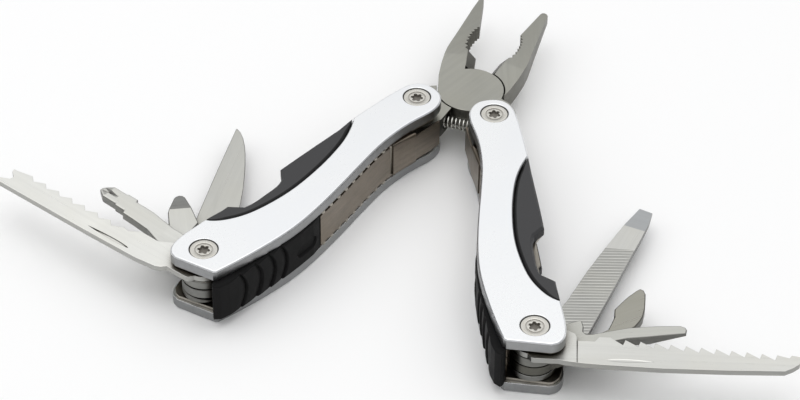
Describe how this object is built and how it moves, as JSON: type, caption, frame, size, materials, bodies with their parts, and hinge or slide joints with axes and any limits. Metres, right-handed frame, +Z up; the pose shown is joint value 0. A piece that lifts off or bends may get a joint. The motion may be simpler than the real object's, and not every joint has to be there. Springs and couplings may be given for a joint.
{
  "type": "folding multi tool",
  "caption": "Plier-head folding multi tool with sprung needle-nose jaws, two channel handles and fold-out blades, saw, file, scaler, openers and drivers.",
  "frame": {"origin": "centre of the bounding box at the level of the lower faces it lies on, tool open as in the picture", "axes": "+Z up, through the thickness and along every pivot; +Y from the handle ends towards the jaws; +X from the left handle to the right handle"},
  "size_m": [0.1947, 0.1432, 0.017],
  "materials": {
    "scale_metal": "satin silver, chamfered rim",
    "insert_plastic": "charcoal, fine matte",
    "grip_rubber": "matte black, ribbed",
    "plier_steel": "brushed along the jaws",
    "blade_steel": "fine brushed",
    "sheet_steel": "dull sheet steel",
    "fastener_steel": "turned",
    "spring_wire": "bright wire"
  },
  "bodies": {
    "pliers_lower": {"jaw_lower": "plier_steel", "plier_pin": "plier_steel", "return_spring": "spring_wire"},
    "pliers_upper": {"jaw_upper": "plier_steel"},
    "left_handle": {"left_scale_top": "scale_metal", "left_scale_bottom": "scale_metal", "left_insert_top": "insert_plastic", "left_insert_bottom": "insert_plastic", "left_liner_top": "sheet_steel", "left_liner_bottom": "sheet_steel", "left_web": "sheet_steel", "left_front_spring": "sheet_steel", "left_grip": "grip_rubber", "left_backspring": "sheet_steel", "left_front_sleeve": "fastener_steel", "left_front_screw": "fastener_steel", "left_rear_sleeve": "fastener_steel", "left_rear_screw": "fastener_steel", "left_front_spacers": "fastener_steel", "left_rear_washers": "fastener_steel"},
    "right_handle": {"right_scale_top": "scale_metal", "right_scale_bottom": "scale_metal", "right_insert_top": "insert_plastic", "right_insert_bottom": "insert_plastic", "right_liner_top": "sheet_steel", "right_liner_bottom": "sheet_steel", "right_web": "sheet_steel", "right_front_spring": "sheet_steel", "right_grip": "grip_rubber", "right_backspring": "sheet_steel", "right_front_sleeve": "fastener_steel", "right_front_screw": "fastener_steel", "right_rear_sleeve": "fastener_steel", "right_rear_screw": "fastener_steel", "right_front_spacers": "fastener_steel", "right_rear_washers": "fastener_steel"},
    "fish_scaler_tool": {"fish_scaler": "blade_steel"},
    "phillips_driver_tool": {"phillips_driver": "blade_steel"},
    "slotted_driver_tool": {"slotted_driver": "blade_steel"},
    "knife_tool": {"knife_blade": "blade_steel"},
    "wood_saw_tool": {"wood_saw": "blade_steel"},
    "pry_bar_tool": {"pry_bar": "blade_steel"},
    "can_opener_tool": {"can_opener": "blade_steel"},
    "file_tool": {"file_blade": "blade_steel"}
  },
  "joints": [
    {"name": "plier_pivot", "type": "hinge", "parent": "pliers_lower", "child": "pliers_upper", "pos_m": [0.02126, 0.03121, 0.0085], "axis": [0, 0, -1], "range_deg": [0, 23.4], "stiffness_Nm_per_rad": 0.14, "springref_deg": -24.64, "deforming": ["return_spring"]},
    {"name": "left_handle_fold", "type": "hinge", "parent": "pliers_lower", "child": "left_handle", "pos_m": [0.00736, 0.0213, 0.0085], "axis": [0, 0, -1], "range_deg": [0, 166.9]},
    {"name": "right_handle_fold", "type": "hinge", "parent": "pliers_upper", "child": "right_handle", "pos_m": [0.02693, 0.01511, 0.0085], "axis": [0, 0, 1], "range_deg": [0, 167]},
    {"name": "fish_scaler_fold", "type": "hinge", "parent": "left_handle", "child": "fish_scaler_tool", "pos_m": [-0.04348, -0.03653, 0.0085], "axis": [0, 0, -1], "range_deg": [-86.1, 100.4]},
    {"name": "phillips_driver_fold", "type": "hinge", "parent": "left_handle", "child": "phillips_driver_tool", "pos_m": [-0.04348, -0.03653, 0.0085], "axis": [0, 0, -1], "range_deg": [-88.9, 91.6]},
    {"name": "slotted_driver_fold", "type": "hinge", "parent": "left_handle", "child": "slotted_driver_tool", "pos_m": [-0.04348, -0.03653, 0.0085], "axis": [0, 0, -1], "range_deg": [-130.7, 53.8]},
    {"name": "knife_fold", "type": "hinge", "parent": "left_handle", "child": "knife_tool", "pos_m": [-0.04348, -0.03653, 0.0085], "axis": [0, 0, -1], "range_deg": [-152.5, 35]},
    {"name": "wood_saw_fold", "type": "hinge", "parent": "right_handle", "child": "wood_saw_tool", "pos_m": [0.03518, -0.06144, 0.0085], "axis": [0, 0, 1], "range_deg": [-81.5, 105]},
    {"name": "pry_bar_fold", "type": "hinge", "parent": "right_handle", "child": "pry_bar_tool", "pos_m": [0.03518, -0.06144, 0.0085], "axis": [0, 0, 1], "range_deg": [-88.3, 91.7]},
    {"name": "can_opener_fold", "type": "hinge", "parent": "right_handle", "child": "can_opener_tool", "pos_m": [0.03518, -0.06144, 0.0085], "axis": [0, 0, 1], "range_deg": [-111.6, 65.4]},
    {"name": "file_fold", "type": "hinge", "parent": "right_handle", "child": "file_tool", "pos_m": [0.03518, -0.06144, 0.0085], "axis": [0, 0, 1], "range_deg": [-150.2, 35.8]}
  ]
}
